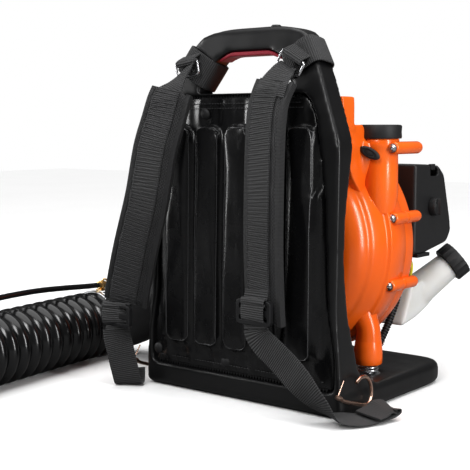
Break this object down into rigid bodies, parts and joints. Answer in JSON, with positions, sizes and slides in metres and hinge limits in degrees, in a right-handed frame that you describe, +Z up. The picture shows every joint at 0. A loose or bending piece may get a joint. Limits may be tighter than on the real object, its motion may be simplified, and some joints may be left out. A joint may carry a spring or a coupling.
{
  "type": "backpack leaf blower",
  "caption": "Two-stroke backpack leaf blower: padded back frame with shoulder straps, round fan case, air-filter box, fuel tank and a bellows hose ending in a control pipe.",
  "frame": {"origin": "centre of the base plate's underside", "axes": "+Z up, -Y towards the wearer's back, +Y towards the engine, hose on the -X side"},
  "size_m": [0.5921, 0.8671, 0.475],
  "materials": {
    "frame_plastic": "satin black moulded plastic",
    "red_grip": "soft maroon grip",
    "pad_pvc": "glossy black moulded PVC",
    "strap_fabric": "charcoal mesh fabric with sewn ribbed webbing",
    "webbing": "black ribbed webbing",
    "buckle_plastic": "black acetal",
    "steel": "bright zinc-plated steel",
    "copper_wire": "copper-washed wire",
    "brass": "brass",
    "orange_plastic": "glossy orange moulded plastic",
    "charcoal_plastic": "fine-textured charcoal plastic",
    "rubber": "black rubber",
    "bellows": "glossy black corrugated hose",
    "cast_metal": "die-cast aluminium",
    "fan_plastic": "dark nylon",
    "ceramic": "glazed insulator",
    "tank_plastic": "translucent natural polyethylene",
    "fuel_line": "yellow fuel tubing",
    "bulb": "clear primer bulb"
  },
  "bodies": {
    "root": {"frame": "frame_plastic", "handle_insert": "red_grip", "back_pad": "pad_pvc", "mount_spring_right": "steel", "mount_spring_left": "steel", "shoulder_strap_right": "strap_fabric", "shoulder_strap_left": "strap_fabric", "lower_webbing_right": "webbing", "lower_webbing_left": "webbing", "strap_hook_right": "copper_wire", "strap_hook_left": "copper_wire", "hanger_loop_right": "webbing", "hanger_loop_left": "webbing", "hanger_ring_right": "steel", "hanger_ring_left": "steel", "ladder_buckle_right": "buckle_plastic", "ladder_buckle_left": "buckle_plastic", "fan_case_front": "orange_plastic", "fan_case_rear": "orange_plastic", "intake_guard": "charcoal_plastic", "neck_cap": "rubber", "oval_plug": "rubber", "case_screw_top": "steel", "case_screw_middle": "steel", "case_screw_bottom": "steel", "crankcase": "cast_metal", "cylinder": "cast_metal", "engine_cover": "charcoal_plastic", "muffler": "cast_metal", "spark_plug": "ceramic", "starter_cover": "charcoal_plastic", "carburettor": "cast_metal", "filter_base": "charcoal_plastic", "fuel_tank": "tank_plastic", "fuel_line": "fuel_line", "wiring_conduit": "rubber", "outlet_elbow": "charcoal_plastic", "cable_clip": "brass"},
    "rotor": {"impeller": "fan_plastic", "crankshaft": "steel", "flywheel": "cast_metal"},
    "piston": {"piston": "cast_metal"},
    "pulley": {"starter_pulley": "fan_plastic"},
    "starter": {"starter_grip": "rubber", "starter_rope": "webbing"},
    "carb_throttle": {"throttle_lever": "steel"},
    "choke": {"choke_lever": "rubber"},
    "primer": {"primer_bulb": "bulb"},
    "filter_knob": {"filter_knob": "rubber"},
    "filter_cover": {"filter_cover": "charcoal_plastic"},
    "fuel_cap": {"fuel_cap": "rubber"},
    "gate_right": {"hook_gate_right": "copper_wire"},
    "gate_left": {"hook_gate_left": "copper_wire"},
    "duct": {"hose": "bellows", "throttle_cable": "rubber"},
    "wand": {"control_pipe": "charcoal_plastic", "control_grip": "rubber"},
    "trigger": {"throttle_trigger": "charcoal_plastic"},
    "stop_switch": {"stop_switch": "red_grip"},
    "cruise": {"cruise_lever": "charcoal_plastic"}
  },
  "joints": [
    {"name": "shaft_spin", "type": "hinge", "parent": "root", "child": "rotor", "pos_m": [0, 0, 0.195], "axis": [0, 1, 0], "continuous": true},
    {"name": "piston_stroke", "type": "slide", "parent": "root", "child": "piston", "axis": [0, 0, 1], "range_m": [-0.014, 0.004]},
    {"name": "starter_pull", "type": "slide", "parent": "root", "child": "starter", "axis": [-1, 0, 0], "range_m": [0, 0.45], "stiffness_N_per_m": 8, "springref_m": -0.2, "deforming": ["starter_rope"]},
    {"name": "pulley_spin", "type": "hinge", "parent": "root", "child": "pulley", "pos_m": [0, 0.146, 0.195], "axis": [0, -1, 0], "range_deg": [0, 1180]},
    {"name": "carb_throttle_turn", "type": "hinge", "parent": "root", "child": "carb_throttle", "pos_m": [0.056, 0.124, 0.229], "axis": [0, -1, 0], "range_deg": [0, 45]},
    {"name": "choke_turn", "type": "hinge", "parent": "root", "child": "choke", "pos_m": [0.047, 0.085, 0.236], "axis": [0, -1, 0], "range_deg": [0, 70]},
    {"name": "primer_press", "type": "slide", "parent": "root", "child": "primer", "axis": [0, 0, 1], "range_m": [0, 0.004], "stiffness_N_per_m": 300, "deforming": ["primer_bulb"]},
    {"name": "filter_cover_pull", "type": "slide", "parent": "root", "child": "filter_cover", "axis": [1, 0, 0], "range_m": [0, 0.05]},
    {"name": "filter_knob_turn", "type": "hinge", "parent": "filter_cover", "child": "filter_knob", "pos_m": [0.132, 0.135, 0.24], "axis": [1, 0, 0], "continuous": true},
    {"name": "fuel_cap_turn", "type": "hinge", "parent": "root", "child": "fuel_cap", "pos_m": [0.12628, 0.19428, 0.15065], "axis": [0.5529, 0.5529, 0.6233], "continuous": true},
    {"name": "gate_right_open", "type": "hinge", "parent": "root", "child": "gate_right", "pos_m": [0.1655, -0.1515, 0.0355], "axis": [1, 0, 0], "range_deg": [0, 25], "stiffness_Nm_per_rad": 0.02, "springref_deg": -11.46},
    {"name": "gate_left_open", "type": "hinge", "parent": "root", "child": "gate_left", "pos_m": [-0.1655, -0.1515, 0.0355], "axis": [1, 0, 0], "range_deg": [0, 25], "stiffness_Nm_per_rad": 0.02, "springref_deg": -11.46},
    {"name": "hose_swing", "type": "hinge", "parent": "root", "child": "duct", "pos_m": [-0.329, -0.077, 0.051], "axis": [0, 0, 1], "range_deg": [-20, 20], "deforming": ["hose", "throttle_cable"]},
    {"name": "hose_lift", "type": "hinge", "parent": "duct", "child": "wand", "pos_m": [-0.288, -0.43, 0.0506], "axis": [-1, 0, 0], "range_deg": [0, 35]},
    {"name": "trigger_pull", "type": "hinge", "parent": "wand", "child": "trigger", "pos_m": [-0.288, -0.5615, 0.1766], "axis": [1, 0, 0], "range_deg": [0, 15], "stiffness_Nm_per_rad": 0.4, "springref_deg": -8.59},
    {"name": "stop_switch_slide", "type": "slide", "parent": "wand", "child": "stop_switch", "axis": [0, 1, 0], "range_m": [0, 0.006]},
    {"name": "cruise_turn", "type": "hinge", "parent": "wand", "child": "cruise", "pos_m": [-0.268, -0.527, 0.1886], "axis": [1, 0, 0], "range_deg": [0, 60]}
  ],
  "couplings": [
    {"joint": "pulley_spin", "follows": "starter_pull", "rad_per_m": 45.45},
    {"joint": "carb_throttle_turn", "follows": "trigger_pull", "ratio": 3}
  ]
}
